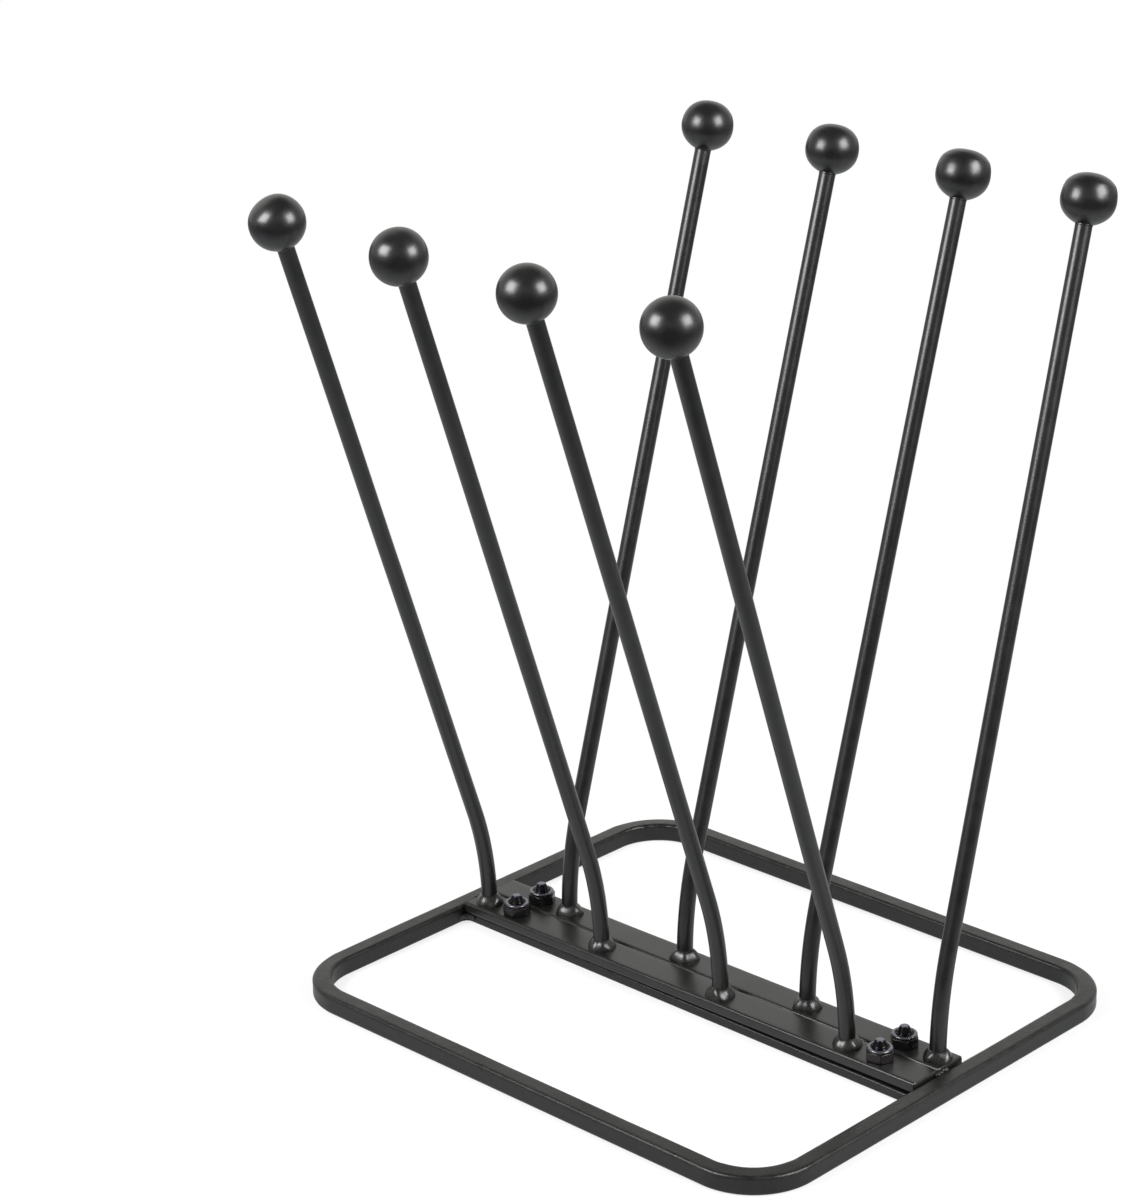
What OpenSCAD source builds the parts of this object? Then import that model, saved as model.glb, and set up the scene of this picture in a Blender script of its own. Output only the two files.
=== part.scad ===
// Boot rack: a flat base loop with a cross bar, and two bolted strips that carry eight leaning ball-ended rods.
// X runs along the strips, -Y is the front and +Z is up. The origin is on the floor under the middle of the loop.

/* [Base loop] */
// Outer length of the loop along the strips
loop_l = 324; // [322:1:360]
// Outer width of the loop from front to back
loop_w = 280; // [240:1:320]
// Side of the square bar that the loop is bent from
bar = 10; // [9:0.5:11]
// Rounding of the bar's long edges
bar_edge = 1.5; // [0.5:0.25:2.5]
// Outer radius of the loop's four bends
corner_r = 36; // [24:1:60]

/* [Cross bar and strips] */
// Height of the flat cross bar
cross_h = 6; // [5:0.5:8]
// How far each side of the cross bar is set back under its strip
cross_inset = 0.5; // [0.5:0.25:1.5]
// Width of each strip
strip_w = 19; // [18:0.5:20]
// Thickness of each strip
strip_t = 6; // [4:0.5:7]
// Rounding of the long edges on the strips and the cross bar
strip_edge = 1.25; // [0.5:0.25:1.75]
// Gap between each strip end and the loop
end_gap = 0.5; // [0.4:0.1:1.5]
// Turn of the two strips on the cross bar, in degrees
skew = 0.7; // [0:0.1:1]

/* [Rods] */
// Diameter of the rods
rod_d = 8.4; // [6:0.1:9]
// Spacing of the four rods on one strip
pitch = 81.5; // [76:0.5:82]
// How far the feet and the bolts sit to the right of the middle
foot_shift = 1; // [0:0.5:1.5]
// Radius of the bend at each rod's foot
bend_r = 160; // [80:5:200]
// Lean of the straight part of each rod away from upright, in degrees
lean = 20.5; // [12:0.5:24]
// How far each front rod's lean is turned from straight out, left to right, in degrees
front_turn = [6.7, 6, 4.8, 5.7]; // [0:0.1:12]
// How far each rear rod's lean is turned from straight out, left to right, in degrees
rear_turn = [7.6, 6.9, 6.6, 9.4]; // [0:0.1:12]

/* [Balls] */
// Diameter of the balls
ball_d = 27; // [24:0.5:32]
// How much each ball is flattened on top
ball_flat = 1; // [0.3:0.1:2]
// Height of the middle of each front ball, left to right
front_ball_z = [414, 411, 407.5, 407.5]; // [380:0.5:440]
// Height of the middle of each rear ball, left to right
rear_ball_z = [407.5, 407, 406.5, 406]; // [380:0.5:440]

/* [Bolts] */
// Thread diameter of the bolts
bolt_d = 8; // [6:1:8]
// Overall length of the bolts with their sunk heads
bolt_l = 22; // [21:1:30]
// Width of the lock nuts across their flats
nut_af = 13; // [12:0.5:13]
// Height of the lock nuts
nut_h = 6.5; // [6:0.5:8.5]
// Turn of the nuts about their own axes, left to right and front to back, in degrees
nut_turn = [53, 3, 11, 15]; // [0:1:60]

/* [Welds] */
// Radius of the bead of weld round each rod's foot
bead_r = 2.9; // [2:0.1:3.2]
// Leg of the fillets between the cross bar and the loop
fillet = 6; // [3:0.5:8]
// Radius of the blobs that tie the strip ends to the loop
blob_r = 1.8; // [1.2:0.1:2.2]

/* [Hidden] */
$fn = 64;
slack = 0.01;
sides = [-1, 1];
order = [0, 1, 2, 3];
in_l = loop_l - 2 * bar;
cross_w = 2 * (strip_w - cross_inset);
deck_z = cross_h + strip_t;
foot_y = strip_w / 2;
strip_l = in_l - 2 * end_gap;
// Each rod stops this far below the middle of its ball
rod_seat = 3;
bolt_x = 1.5 * pitch;
// The bolt heads stay this far above the floor
bolt_z = 0.3;
head_d = 1.7 * bolt_d;
head_h = (head_d - bolt_d) / 2;
socket_af = 0.62 * bolt_d;
socket_h = 0.4 * bolt_d;
// The bolts end in a short cone
tip_h = 0.42 * bolt_d;
tip_d = 0.62 * bolt_d;
nut_ac = nut_af / cos(30);
nut_face_d = 0.95 * nut_af;
nut_body_h = 0.8 * nut_h;
// Diameter that the nut's chamfer cones reach over the height of its hexagon
nut_cone_d = nut_face_d + 2 * nut_body_h / tan(30);
crown_d = 0.93 * nut_af;
lip_d = 0.77 * nut_af;
ring_h = 0.2 * nut_h;
ring_drop = 0.5;
bead_mid_r = rod_d / 2 + 0.2 * bead_r;
bead_mid_z = 0.72 * bead_r;
fillet_root = 0.3;
blob_step = 1.55 * blob_r;
steel = [0.13, 0.13, 0.14];
raw_weld = [0.2, 0.2, 0.2];
zinc = [0.16, 0.16, 0.18];
nylon = [0.06, 0.06, 0.06];

// Feet of the front and rear rods take turns along the strips, a half pitch apart
function foot_x(front, i) = (i - (front ? 1.75 : 1.25)) * pitch + foot_shift;
function rod_turn(front, i) = front ? 180 + front_turn[i] : rear_turn[i];
function ball_z(front, i) = front ? front_ball_z[i] : rear_ball_z[i];
// Length of the straight part of a rod, from the end of its bend to the middle of its ball
function straight_l(front, i) = (ball_z(front, i) - deck_z - bend_r * sin(lean)) / cos(lean);

// Rectangle with rounded corners, drawn from true arcs
module rounded_section(w, h, r) {
    square([w - 2 * r, h], center = true);
    square([w, h - 2 * r], center = true);
    for (sx = sides, sy = sides)
        translate([sx * (w / 2 - r), sy * (h / 2 - r)]) circle(r = r);
}

// Bar along X with rounded long edges, its underside at z = 0
module rounded_bar(l, w, h, r) {
    translate([-l / 2, 0, h / 2])
        rotate([90, 0, 90])
            linear_extrude(height = l) rounded_section(w, h, r);
}

// Puts a piece of a rod where that rod's foot meets its strip, leaning towards local +Y
module at_foot(front, i) {
    rotate([0, 0, skew])
        translate([foot_x(front, i), (front ? -1 : 1) * foot_y, deck_z])
            rotate([0, 0, rod_turn(front, i)])
                children();
}

// Moves from a rod's foot to the end of its bend, with local +Z along the straight part
module past_bend() {
    translate([0, bend_r * (1 - cos(lean)), bend_r * sin(lean)])
        rotate([-lean, 0, 0])
            children();
}

// Round rod: bent at its foot, then straight into its ball
module rod(front, i) {
    at_foot(front, i)
        past_bend() {
            cylinder(d = rod_d, h = straight_l(front, i) - rod_seat);
            translate([0, bend_r, 0])
                rotate([-90, 0, -90])
                    rotate_extrude(angle = lean)
                        translate([bend_r, 0]) circle(d = rod_d);
        }
}

// Ball with a slightly flattened top and a blind socket for its rod
module ball(front, i) {
    crown_r = 0.75 * ball_d;
    at_foot(front, i)
        past_bend()
            translate([0, 0, straight_l(front, i)])
                difference() {
                    intersection() {
                        sphere(d = ball_d);
                        translate([0, 0, ball_d / 2 - ball_flat - crown_r]) sphere(r = crown_r);
                    }
                    translate([0, 0, -ball_d]) cylinder(d = rod_d, h = ball_d - rod_seat);
                }
}

// Raised ring of weld round a rod's foot
module foot_weld(front, i) {
    difference() {
        at_foot(front, i)
            rotate_extrude()
                intersection() {
                    translate([bead_mid_r, bead_mid_z]) circle(r = bead_r);
                    square([2 * rod_d, rod_d]);
                }
        rod(front, i);
    }
}

// Places a piece at one of the four bolts
module at_bolt(side, row) {
    rotate([0, 0, skew])
        translate([side * bolt_x + foot_shift, row * foot_y, 0])
            children();
}

// Clearance hole with a countersink underneath for each bolt
module bolt_holes() {
    for (side = sides, row = sides)
        at_bolt(side, row) {
            translate([0, 0, -slack]) cylinder(d = bolt_d, h = deck_z + 2 * slack);
            translate([0, 0, -slack]) cylinder(d = head_d, h = bolt_z + 2 * slack);
            translate([0, 0, bolt_z]) cylinder(d1 = head_d, d2 = bolt_d, h = head_h);
        }
}

// Square bar bent into a closed loop that lies on the floor
module base_loop() {
    bend_mid = corner_r - bar / 2;
    color(steel) {
        for (side = sides) {
            translate([0, side * (loop_w - bar) / 2, 0])
                rounded_bar(loop_l - 2 * corner_r, bar, bar, bar_edge);
            translate([side * (loop_l - bar) / 2, 0, 0])
                rotate([0, 0, 90])
                    rounded_bar(loop_w - 2 * corner_r, bar, bar, bar_edge);
        }
        for (sx = sides, sy = sides)
            translate([sx * (loop_l / 2 - corner_r), sy * (loop_w / 2 - corner_r), bar / 2])
                rotate([0, 0, sx > 0 ? (sy > 0 ? 0 : 270) : (sy > 0 ? 90 : 180)])
                    rotate_extrude(angle = 90)
                        translate([bend_mid, 0]) rounded_section(bar, bar, bar_edge);
    }
}

// Flat bar across the loop that the strips are bolted to
module cross_bar() {
    color(steel)
        difference() {
            rounded_bar(in_l, cross_w, cross_h, strip_edge);
            bolt_holes();
        }
}

// Hollow fillets of weld in the two corners at one end of the cross bar
module cross_welds(side) {
    color(raw_weld)
        for (row = sides)
            translate([side * in_l / 2, row * cross_w / 2, bar_edge])
                difference() {
                    translate([side > 0 ? -fillet : 0, row > 0 ? 0 : -fillet, 0])
                        cube([fillet, fillet, cross_h - bar_edge - strip_edge]);
                    translate([-side * fillet, row * fillet, -slack])
                        cylinder(r = fillet - fillet_root, h = cross_h);
                }
}
module left_cross_welds() { cross_welds(-1); }
module right_cross_welds() { cross_welds(1); }

// Flat strip that carries four rods
module strip(row) {
    color(steel)
        difference() {
            rotate([0, 0, skew])
                translate([0, row * strip_w / 2, cross_h])
                    rounded_bar(strip_l, strip_w, strip_t, strip_edge);
            bolt_holes();
        }
}
module front_strip() { strip(-1); }
module rear_strip() { strip(1); }

// Short row of weld blobs that ties the strip ends to the top of the loop
module tack_weld(side, mid_y) {
    color(raw_weld)
        difference() {
            for (i = [-1, 0, 1])
                translate([side * (in_l / 2 + blob_r / 3), mid_y + i * blob_step, bar])
                    sphere(r = blob_r);
            base_loop();
            strip(-1);
            strip(1);
        }
}
module left_tack_weld() { tack_weld(-1, -8); }
module right_tack_weld() { tack_weld(1, 3); }

module front_rod(i) { color(steel) rod(true, i); }
module rear_rod(i) { color(steel) rod(false, i); }
module front_weld(i) { color(raw_weld) foot_weld(true, i); }
module rear_weld(i) { color(raw_weld) foot_weld(false, i); }
module front_ball(i) { color(steel) ball(true, i); }
module rear_ball(i) { color(steel) ball(false, i); }

// Bolt with a sunk head that has a six-sided key socket
module bolt(side, row) {
    tip_z = bolt_z + bolt_l;
    color(zinc)
        at_bolt(side, row)
            difference() {
                union() {
                    translate([0, 0, bolt_z]) cylinder(d1 = head_d, d2 = bolt_d, h = head_h);
                    translate([0, 0, bolt_z + slack]) cylinder(d = bolt_d, h = bolt_l - tip_h - slack);
                    translate([0, 0, tip_z - tip_h]) cylinder(d1 = bolt_d, d2 = tip_d, h = tip_h);
                }
                translate([0, 0, bolt_z - slack]) cylinder(d = socket_af / cos(30), h = socket_h, $fn = 6);
            }
}
module left_front_bolt() { bolt(-1, -1); }
module left_rear_bolt() { bolt(-1, 1); }
module right_front_bolt() { bolt(1, -1); }
module right_rear_bolt() { bolt(1, 1); }

// Hexagon with its corners chamfered at both ends
module nut_body(turn) {
    intersection() {
        rotate([0, 0, turn]) cylinder(d = nut_ac, h = nut_body_h, $fn = 6);
        cylinder(d1 = nut_face_d, d2 = nut_cone_d, h = nut_body_h);
        cylinder(d1 = nut_cone_d, d2 = nut_face_d, h = nut_body_h);
    }
}

// Lock nut: a hexagon with a round crown that holds its ring
module lock_nut(side, row, turn) {
    color(zinc)
        at_bolt(side, row)
            translate([0, 0, deck_z])
                difference() {
                    union() {
                        nut_body(turn);
                        cylinder(d = crown_d, h = nut_h);
                    }
                    translate([0, 0, -slack]) cylinder(d = bolt_d, h = nut_h + 2 * slack);
                    translate([0, 0, nut_h - ring_h - ring_drop]) cylinder(d = lip_d, h = nut_h);
                }
}
module left_front_nut() { lock_nut(-1, -1, nut_turn[0]); }
module left_rear_nut() { lock_nut(-1, 1, nut_turn[1]); }
module right_front_nut() { lock_nut(1, -1, nut_turn[2]); }
module right_rear_nut() { lock_nut(1, 1, nut_turn[3]); }

// Plastic ring inside the nut's crown that grips the thread
module lock_ring(side, row) {
    color(nylon)
        at_bolt(side, row)
            translate([0, 0, deck_z + nut_h - ring_h - ring_drop])
                difference() {
                    cylinder(d = lip_d, h = ring_h);
                    translate([0, 0, -slack]) cylinder(d = bolt_d, h = ring_h + 2 * slack);
                }
}
module left_front_lock_ring() { lock_ring(-1, -1); }
module left_rear_lock_ring() { lock_ring(-1, 1); }
module right_front_lock_ring() { lock_ring(1, -1); }
module right_rear_lock_ring() { lock_ring(1, 1); }

base_loop();
cross_bar();
left_cross_welds();
right_cross_welds();
front_strip();
rear_strip();
left_tack_weld();
right_tack_weld();
front_rod(0);  // front_rod_1
front_rod(1);  // front_rod_2
front_rod(2);  // front_rod_3
front_rod(3);  // front_rod_4
rear_rod(0);  // rear_rod_1
rear_rod(1);  // rear_rod_2
rear_rod(2);  // rear_rod_3
rear_rod(3);  // rear_rod_4
front_weld(0);  // front_weld_1
front_weld(1);  // front_weld_2
front_weld(2);  // front_weld_3
front_weld(3);  // front_weld_4
rear_weld(0);  // rear_weld_1
rear_weld(1);  // rear_weld_2
rear_weld(2);  // rear_weld_3
rear_weld(3);  // rear_weld_4
front_ball(0);  // front_ball_1
front_ball(1);  // front_ball_2
front_ball(2);  // front_ball_3
front_ball(3);  // front_ball_4
rear_ball(0);  // rear_ball_1
rear_ball(1);  // rear_ball_2
rear_ball(2);  // rear_ball_3
rear_ball(3);  // rear_ball_4
left_front_bolt();
left_rear_bolt();
right_front_bolt();
right_rear_bolt();
left_front_nut();
left_rear_nut();
right_front_nut();
right_rear_nut();
left_front_lock_ring();
left_rear_lock_ring();
right_front_lock_ring();
right_rear_lock_ring();
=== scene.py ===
import math
import random

import bmesh
import bpy
import numpy as np
from mathutils import Matrix, Vector


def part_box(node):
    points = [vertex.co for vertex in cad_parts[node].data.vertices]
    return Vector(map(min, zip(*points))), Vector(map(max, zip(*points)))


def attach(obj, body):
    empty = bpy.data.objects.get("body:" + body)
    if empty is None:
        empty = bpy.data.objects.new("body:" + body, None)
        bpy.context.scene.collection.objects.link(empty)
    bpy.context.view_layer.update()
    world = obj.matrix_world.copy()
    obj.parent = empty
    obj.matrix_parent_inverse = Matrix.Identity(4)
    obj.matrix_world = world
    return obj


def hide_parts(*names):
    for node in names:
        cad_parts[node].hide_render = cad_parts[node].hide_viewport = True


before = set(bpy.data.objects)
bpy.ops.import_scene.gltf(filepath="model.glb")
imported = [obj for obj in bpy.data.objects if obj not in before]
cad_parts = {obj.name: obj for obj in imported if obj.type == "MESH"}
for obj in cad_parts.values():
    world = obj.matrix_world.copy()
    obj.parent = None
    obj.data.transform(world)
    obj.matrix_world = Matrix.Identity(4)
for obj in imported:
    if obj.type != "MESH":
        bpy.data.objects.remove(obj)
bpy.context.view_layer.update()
scene = bpy.context.scene
scene.view_settings.view_transform = "Standard"
print("frame:", len(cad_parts), "nodes")

# Sizes in the dictionaries below are in millimetres unless they say otherwise, and the meshes are in metres
mm = 0.001
rows = {"front": -1, "rear": 1}
ends = {"left": -1, "right": 1}
deckHeight = 12.0              # top of the two strips
skew = math.radians(0.7)       # turn of the two strips on the cross bar


def onDeck(points):
    # Points given along and across the strips, turned with them on the cross bar
    points = np.array(points, float)
    x, y = points[..., 0].copy(), points[..., 1].copy()
    points[..., 0] = x * math.cos(skew) - y * math.sin(skew)
    points[..., 1] = x * math.sin(skew) + y * math.cos(skew)
    return points


def boxFoot(name):
    # Middle of the underside of a node's box, in millimetres
    low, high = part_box(name)
    return Vector(((low.x + high.x) / 2, (low.y + high.y) / 2, low.z)) / mm


def seedOf(first, row, number):
    return first + number + (10 if row == "rear" else 0)


# The camera: angles in degrees, lengths in millimetres, and the clip distances in metres

camera = {
    "azimuth": 44.76,
    "elevation": 20.70,
    "roll": -1.415,
    "target": (-42.5, -51.89, 220.07),
    "distance": 1650.0,
    "lens": 102.14,
    "sensor": 36.0,
    "clip": (0.05, 50),
}


def placeCamera(look):
    az, el, roll = (math.radians(look[k]) for k in ("azimuth", "elevation", "roll"))
    back = Vector((math.sin(az) * math.cos(el), -math.cos(az) * math.cos(el), math.sin(el)))
    level = (-back).cross(Vector((0, 0, 1))).normalized()
    plumb = level.cross(-back)
    across = level * math.cos(roll) + plumb * math.sin(roll)
    up = plumb * math.cos(roll) - level * math.sin(roll)
    cam = bpy.data.cameras.new("studioCamera")
    cam.lens = look["lens"]
    cam.sensor_width = look["sensor"]
    cam.clip_start, cam.clip_end = look["clip"]
    rig = bpy.data.objects.new("studioCamera", cam)
    turn = Matrix((across, up, back)).transposed().to_4x4()
    rig.matrix_world = Matrix.Translation((Vector(look["target"]) + back * look["distance"]) * mm) @ turn
    scene.collection.objects.link(rig)
    scene.camera = rig
    return Vector((back.x, back.y, 0)).normalized()


towardsCamera = placeCamera(camera)
print("camera placed")


# Mesh helpers: a shell collects points and faces, and each grid of rings closes round on itself

def newShell():
    return {"points": [], "faces": []}


def addRings(shell, rings, loop=False, startTip=None, endTip=None):
    rings = np.asarray(rings, float)
    count, around = rings.shape[:2]
    base = len(shell["points"])
    shell["points"] += rings.reshape(-1, 3).tolist()
    for i in range(count if loop else count - 1):
        a, b = base + i * around, base + (i + 1) % count * around
        for j in range(around):
            k = (j + 1) % around
            shell["faces"].append((a + j, a + k, b + k, b + j))
    for tip, ring in ((startTip, 0), (endTip, count - 1)):
        if tip is not None:
            shell["points"].append(list(tip))
            middle, first = len(shell["points"]) - 1, base + ring * around
            for j in range(around):
                shell["faces"].append((middle, first + j, first + (j + 1) % around))


def smoothed(mesh, sharp=35):
    # Smooth faces, apart from edges sharper than the given degrees
    mesh.shade_smooth()
    mesh.set_sharp_from_angle(angle=math.radians(sharp))
    return mesh


def shellMesh(name, shell, sharp=35):
    mesh = bpy.data.meshes.new(name)
    mesh.from_pydata((np.array(shell["points"]) * mm).tolist(), [], shell["faces"])
    tidy = bmesh.new()
    tidy.from_mesh(mesh)
    bmesh.ops.recalc_face_normals(tidy, faces=tidy.faces)
    tidy.to_mesh(mesh)
    tidy.free()
    return smoothed(mesh, sharp)


def addPiece(name, mesh, finish, slot, *nodes):
    mesh.materials.clear()
    mesh.materials.append(finish)
    piece = bpy.data.objects.new(name, mesh)
    scene.collection.objects.link(piece)
    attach(piece, "root")
    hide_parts(*nodes)


def turnAngles(count):
    return np.arange(count) * 2 * math.pi / count


def levelRing(x, y, z, radius, angles):
    # One ring about the upright through x and y; its radius and height may change with the angle
    radius = np.broadcast_to(radius, angles.shape)
    z = np.broadcast_to(z, angles.shape)
    return np.stack([x + radius * np.cos(angles), y + radius * np.sin(angles), z], 1)


def turned(profile, around, x=0.0, y=0.0):
    # Rings for a profile of radius and height, turned about the upright through x and y
    return np.array([levelRing(x, y, z, radius, turnAngles(around)) for radius, z in profile])


def spokesRound(heading, side, angles):
    # Unit vectors square to a heading, one for each angle
    return np.outer(np.cos(angles), side) + np.outer(np.sin(angles), side.cross(heading))


def quarterRound(steps, first=0):
    # How far in and how far down each point of a rounded edge lies, as shares of its radius
    turns = [math.radians(90 * i / steps) for i in range(first, steps + 1)]
    return [(1 - math.cos(a), 1 - math.sin(a)) for a in turns]


def smoothStep(x):
    x = np.clip(x, 0, 1)
    return x * x * (3 - 2 * x)


def waves(seed, count, longest, shortest):
    # A slow unevenness along a length, from a few seeded sine waves; about -1 to 1
    dice = random.Random(seed)
    turn = 2 * math.pi
    parts = [(turn / dice.uniform(shortest, longest), dice.uniform(0, turn)) for _ in range(count)]
    usualPeak = 1.4 * count ** 0.5
    return lambda s: sum(np.sin(k * np.asarray(s) + p) for k, p in parts) / usualPeak


def barSection(width, height, edge, arcSteps, flatSteps):
    # Outline of a bar with rounded long edges: across, up
    flatX, flatY = width / 2 - edge, height / 2 - edge
    outline = []
    for sx, sy, start, flatEnd in ((1, 1, 0, (-flatX, height / 2)), (-1, 1, 90, (-width / 2, -flatY)),
                                   (-1, -1, 180, (flatX, -height / 2)), (1, -1, 270, (width / 2, flatY))):
        for i in range(arcSteps + 1):
            a = math.radians(start + 90 * i / arcSteps)
            outline.append((sx * flatX + edge * math.cos(a), sy * flatY + edge * math.sin(a)))
        x, y = outline[-1]
        for i in range(1, flatSteps):
            t = i / flatSteps
            outline.append((x + (flatEnd[0] - x) * t, y + (flatEnd[1] - y) * t))
    return np.array(outline)


# Shader helpers: a socket is wired in, and anything else is set as a constant

def plug(tree, value, socket):
    if isinstance(value, bpy.types.NodeSocket):
        tree.links.new(value, socket)
    else:
        socket.default_value = value


def node(tree, kind, *values, **named):
    # A new node's first output; values go to its inputs in order, and named ones by name
    made = tree.nodes.new(kind)
    for socket, value in zip(made.inputs, values):
        plug(tree, value, socket)
    for name, value in named.items():
        plug(tree, value, made.inputs[name])
    return made.outputs[0]


def maths(tree, operation, *values):
    made = tree.nodes.new("ShaderNodeMath")
    made.operation = operation
    for socket, value in zip(made.inputs, values):
        plug(tree, value, socket)
    return made.outputs[0]


def multiply(tree, first, *others):
    for other in others:
        first = maths(tree, "MULTIPLY", first, other)
    return first


def vectorMaths(tree, operation, *values):
    made = tree.nodes.new("ShaderNodeVectorMath")
    made.operation = operation
    for socket, value in zip(made.inputs, values):
        plug(tree, value, socket)
    return made.outputs["Value"]


def remap(tree, value, fromMin, fromMax, toMin=0.0, toMax=1.0, easing="LINEAR"):
    span = tree.nodes.new("ShaderNodeMapRange")
    span.interpolation_type = easing
    levels = {"Value": value, "From Min": fromMin, "From Max": fromMax, "To Min": toMin, "To Max": toMax}
    for name, level in levels.items():
        plug(tree, level, span.inputs[name])
    return span.outputs["Result"]


def easeOver(tree, value, fromMin, fromMax, toMin, toMax):
    return remap(tree, value, fromMin, fromMax, toMin, toMax, "SMOOTHSTEP")


def colourRamp(tree, value, stops):
    ramp = tree.nodes.new("ShaderNodeValToRGB")
    marks = ramp.color_ramp.elements
    while len(marks) < len(stops):
        marks.new(0.5)
    for mark, (where, colour) in zip(marks, stops):
        mark.position = where
        mark.color = (*colour, 1)
    plug(tree, value, ramp.inputs["Fac"])
    return ramp.outputs["Color"]


def blend(tree, share, first, second):
    mix = tree.nodes.new("ShaderNodeMix")
    mix.data_type = "RGBA"
    for name, value in (("Factor", share), ("A", first), ("B", second)):
        plug(tree, value, mix.inputs[name])
    return mix.outputs["Result"]


def cloud(tree, place, scale, detail, roughness=0.5):
    return node(tree, "ShaderNodeTexNoise", Vector=place, Scale=scale, Detail=detail, Roughness=roughness)


def newFinish(name):
    # A material, its node tree, the inputs of its surface, and where a point is on its piece
    finish = bpy.data.materials.new(name)
    finish.use_nodes = True
    tree = finish.node_tree
    place = tree.nodes.new("ShaderNodeTexCoord").outputs["Object"]
    return finish, tree, tree.nodes["Principled BSDF"].inputs, place


# Finishes: near-black satin paint in five looks, dark zinc and nylon.
# The clouds' scales are per metre, and the depths of peel, grain and pits are in metres.

framePaint = {
    "dark": (0.0054, 0.0054, 0.0050), "light": (0.0100, 0.0100, 0.0091), "index": 1.48,
    "roughness": (0.25, 0.46), "mottle": 150, "grain": 1400,
    "peel": 0.00012, "grainDepth": 0.000018, "dust": 0.35,
}
stripPaint = {
    "dark": (0.0068, 0.0068, 0.0063), "light": (0.011, 0.011, 0.0101), "index": 1.55,
    "roughness": (0.28, 0.35), "mottle": 90, "grain": 1500,
    "peel": 0.00004, "grainDepth": 0.000008, "dust": 0.2,
}
rodPaint = {
    "dark": (0.0042, 0.0042, 0.0046), "light": (0.0076, 0.0076, 0.0079), "index": 1.6,
    "roughness": (0.29, 0.37), "mottle": 130, "grain": 1600,
    "peel": 0.000018, "grainDepth": 0.000004, "dust": 0.15,
}
ballPaint = {
    "dark": (0.0060, 0.0060, 0.0066), "light": (0.0098, 0.0098, 0.0106), "index": 1.6,
    "roughness": (0.27, 0.34), "mottle": 110, "grain": 1300,
    "peel": 0.00002, "grainDepth": 0.000005, "dust": 0.15,
}
weldPaint = {
    "dark": (0.006, 0.0059, 0.0057), "light": (0.0125, 0.0118, 0.0108), "index": 1.6,
    "roughness": (0.20, 0.40), "mottle": 220, "grain": 2200,
    "peel": 0.00004, "grainDepth": 0.000008, "dust": 0.05,
}
paintCloud = {
    "mottleDetail": 4, "mottleRoughness": 0.6, "mottleSpan": (0.34, 0.66),
    "grainDetail": 3, "grainRoughness": 0.65,
    "peelScale": 4.5, "peelDetail": 2,           # peel is this much finer than the mottle
    "dustColour": (0.035, 0.034, 0.032), "dustSpan": (0.66, 0.74),
    "glossMottle": 0.75, "glossGrain": 0.25,     # what the gloss takes from each cloud
    "glossSpan": (0.3, 0.7),
}


def satinPaint(name, look):
    # Cured black paint: cloudy colour, uneven gloss, orange peel, a fine grain and specks of dried-in dust
    finish, tree, paint, place = newFinish(name)
    p = paintCloud
    mottle = cloud(tree, place, look["mottle"], p["mottleDetail"], p["mottleRoughness"])
    grain = cloud(tree, place, look["grain"], p["grainDetail"], p["grainRoughness"])
    peel = cloud(tree, place, look["mottle"] * p["peelScale"], p["peelDetail"])

    tone = colourRamp(tree, mottle, list(zip(p["mottleSpan"], (look["dark"], look["light"]))))
    specks = remap(tree, grain, *p["dustSpan"], 0, look["dust"])
    gloss = maths(tree, "MULTIPLY_ADD", mottle, p["glossMottle"], remap(tree, grain, 0, 1, 0, p["glossGrain"]))
    dimples = node(tree, "ShaderNodeBump", Distance=look["peel"], Height=peel)
    relief = node(tree, "ShaderNodeBump", Distance=look["grainDepth"], Height=grain, Normal=dimples)

    plug(tree, look["index"], paint["IOR"])
    plug(tree, blend(tree, specks, tone, (*p["dustColour"], 1)), paint["Base Color"])
    plug(tree, remap(tree, gloss, *p["glossSpan"], *look["roughness"]), paint["Roughness"])
    plug(tree, relief, paint["Normal"])
    return finish


# The worn colour below lies over the top of each part, between two heights in millimetres: a painted highlight
# on the nut's crown ring and the bolt's tip, and barely lighter on the nylon ring
nutZinc = {
    "metallic": 0.8, "brown": (0.044, 0.036, 0.031), "blue": (0.030, 0.030, 0.039), "tintScale": 170,
    "roughness": (0.2, 0.3), "scuffScale": 900, "pits": 0.00003,
    "paintedHighlightFrom": (17.6, 18.3), "worn": (0.17, 0.165, 0.19),
}
boltZinc = {
    "metallic": 1.0, "brown": (0.026, 0.024, 0.018), "blue": (0.018, 0.02, 0.032), "tintScale": 260,
    "roughness": (0.18, 0.3), "scuffScale": 1100, "pits": 0.00003,
    "paintedHighlightFrom": (22.0, 22.3), "worn": (0.20, 0.19, 0.235),
}
ringNylon = {
    "metallic": 0.0, "brown": (0.012, 0.0115, 0.011), "blue": (0.02, 0.02, 0.022), "tintScale": 300,
    "roughness": (0.45, 0.6), "scuffScale": 1500, "pits": 0.00005,
    "paintedHighlightFrom": (17.9, 18.1), "worn": (0.018, 0.018, 0.019),
}
zincCloud = {"tintDetail": 3, "tintSpan": (0.32, 0.68), "scuffDetail": 5, "scuffSpan": (0.3, 0.7)}


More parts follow.
